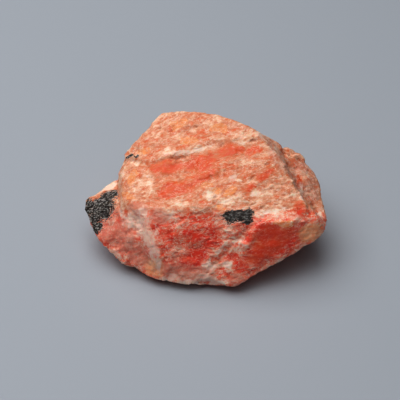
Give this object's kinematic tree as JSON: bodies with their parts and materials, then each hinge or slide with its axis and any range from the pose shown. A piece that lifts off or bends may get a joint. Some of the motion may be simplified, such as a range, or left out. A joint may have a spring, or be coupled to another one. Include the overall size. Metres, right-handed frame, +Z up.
{
  "type": "rough triplite stone",
  "caption": "Rough lump of orange-red triplite with broken faces, cream veins and a dark knob at one end; it rests on a small flat underside.",
  "frame": {"origin": "centre of the bounding box at the flat underside, where the stone rests", "axes": "+X along the stone to its blunt right end, away from the dark knob; +Y to the back, where the top is highest; +Z up"},
  "size_m": [0.0506, 0.034, 0.0234],
  "materials": {
    "stone": "broken stone: orange and red, with frosted cream flakes, dull glassy windows and two dark mineral patches"
  },
  "bodies": {
    "root": {"stone": "stone"}
  },
  "joints": []
}
